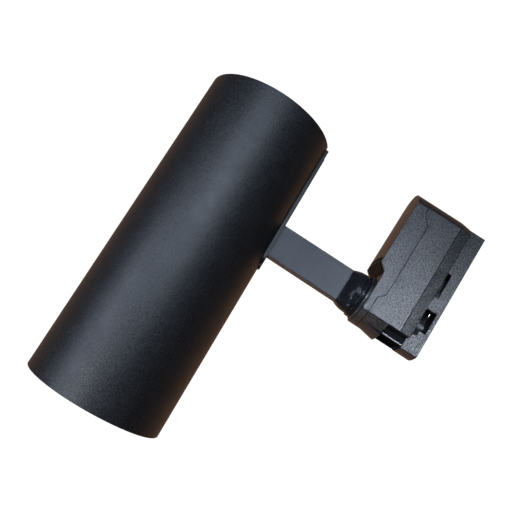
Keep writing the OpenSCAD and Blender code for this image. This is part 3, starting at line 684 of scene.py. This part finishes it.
# %% Contact blade
blade_low, blade_high = [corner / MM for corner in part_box("contact_finger")]
STRIP = 0.45
STRIP_ROUND = 0.1
DULL_LENGTH = 3.6
ROOT_LENGTH, BEND_END = 2.6, 4.2
BEND_LEAN, TIP_LEAN, TIP_LENGTH = 0.3, 0.25, 0.5
HEIGHTS = (1.2, 1.2, 0.7, 0.42, 0.3)


def build_blade():
    """A strip running forward from its root, stepping out to the tip that touches the track."""
    back, front = blade_high.x, blade_low.x
    inner, outer = blade_high.y - STRIP, blade_low.y
    top = blade_high.z
    path = [
        (back, inner), (back - ROOT_LENGTH, inner), (back - BEND_END, outer + BEND_LEAN),
        (front + TIP_LENGTH, outer), (front, outer + TIP_LEAN)
    ]
    sections = [
        [Vector((x, y, top - height)), Vector((x, y + STRIP, top - height)),
         Vector((x, y + STRIP, top)), Vector((x, y, top))]
        for (x, y), height in zip(path, HEIGHTS)
    ]
    bm = bridge_sections(sections, closed=False)
    bmesh.ops.holes_fill(bm, edges=bm.edges, sides=4)
    bmesh.ops.recalc_face_normals(bm, faces=bm.faces)
    round_edges(bm, STRIP_ROUND, is_crease)
    return bm


blade = add_piece("contact_blade", build_blade(), "tongue_grey", BODY_OF["contact_finger"],
                  replaces=["contact_finger"])
second_finish(blade, "silver_contact",
              lambda face: face.center.x / MM < blade_high.x - DULL_LENGTH)

# %% [markdown]
# ## The collar at the arm's top
# A glossy moulded collar turns the flat arm into the round swivel. Its foot is an oblong a little
# larger than the arm, its head a circle, and its flanks swell between them. A lathe can't turn
# that, so level sections are bridged from bottom to top. Their outline goes over to the circle
# fast at first and slowly at the end, so that the flank meets the ring almost upright.

# %% Sections of the collar
ROUND = 96
collar_low, collar_high = [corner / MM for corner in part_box("knuckle_shell")]
COLLAR_R = collar_high.x
FOOT_X, FOOT_Y, FOOT_CORNER = 11.15, 6.2, 2.2
STEM_BORE = 5.0


def circle_section(radius, height):
    """Points of a level circle round Z, in mm."""
    turns = [2 * math.pi * i / ROUND for i in range(ROUND)]
    return [Vector((radius * math.cos(a), radius * math.sin(a), height)) for a in turns]


def oblong_radius(angle, half_x, half_y, corner):
    """How far the outline of a rounded oblong is from its centre at an angle."""
    power = 2 * half_y / corner
    x = abs(math.cos(angle) / half_x) ** power
    y = abs(math.sin(angle) / half_y) ** power
    return (x + y) ** (-1 / power)


def collar_section(share, height, inset=0.0):
    """A section that is the oblong at a share of 0 and the circle at 1."""
    points = []
    for i in range(ROUND):
        angle = 2 * math.pi * i / ROUND
        foot = oblong_radius(angle, FOOT_X, FOOT_Y, FOOT_CORNER)
        radius = foot + (COLLAR_R - foot) * share - inset
        points.append(Vector((radius * math.cos(angle), radius * math.sin(angle), height)))
    return points


# %% Knuckle collar
FLANK_STEPS = 22
SWELL = 2.6
ROUND_IN, ROUND_MID = 0.45, 0.12
FLANK_SPARE = 0.85


def build_collar():
    low, high = collar_low.z, collar_high.z
    sections = [
        circle_section(STEM_BORE, low), collar_section(0, low, ROUND_IN),
        collar_section(0, low + ROUND_MID, ROUND_MID)
    ]
    for i in range(FLANK_STEPS + 1):
        t = i / FLANK_STEPS
        sections.append(collar_section(
            1 - (1 - t) ** SWELL, low + ROUND_IN + t * (high - low - FLANK_SPARE)))
    sections += [
        collar_section(1, high - ROUND_MID, ROUND_MID), collar_section(1, high, ROUND_IN),
        circle_section(STEM_BORE, high)
    ]
    return bridge_sections(sections, closed=True)


add_piece("knuckle_collar", build_collar(), "collar_gloss", "arm",
          replaces=["knuckle_shell"])

# %% [markdown]
# ## The swivel ring
# Between the collar and the adapter lies a thin turned ring. The fine groove round it is the
# joint between its two halves, and it throws a second dark line beside the one above the collar.
# The ring is truly round, so its outline is drawn once and spun.

# %% Swivel ring
ring_low, ring_high = [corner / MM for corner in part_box("swivel_ring")]
EDGE_IN, EDGE_MID, EDGE_UP = 0.5, 0.12, 0.4
GROOVE_DEPTH, GROOVE_FLOOR, GROOVE_MOUTH = 0.28, 0.08, 0.22


def build_swivel_ring():
    out, low, high = ring_high.x, ring_low.z, ring_high.z
    middle = (low + high) / 2
    outline = [
        (STEM_BORE, low), (out - EDGE_IN, low), (out - EDGE_MID, low + EDGE_MID),
        (out, low + EDGE_UP), (out, middle - GROOVE_MOUTH),
        (out - GROOVE_DEPTH, middle - GROOVE_FLOOR), (out - GROOVE_DEPTH, middle + GROOVE_FLOOR),
        (out, middle + GROOVE_MOUTH), (out, high - EDGE_UP),
        (out - EDGE_MID, high - EDGE_MID), (out - EDGE_IN, high), (STEM_BORE, high)
    ]
    bm = bmesh.new()
    edges = add_section(bm, [Vector((radius, 0, z)) for radius, z in outline])
    bmesh.ops.spin(
        bm, geom=edges, cent=(0, 0, 0), axis=(0, 0, 1), dvec=(0, 0, 0), angle=2 * math.pi,
        steps=ROUND, use_merge=True
    )
    bmesh.ops.recalc_face_normals(bm, faces=bm.faces)
    return bm


add_piece("swivel_collar", build_swivel_ring(), "collar_gloss", "arm",
          replaces=["swivel_ring"])
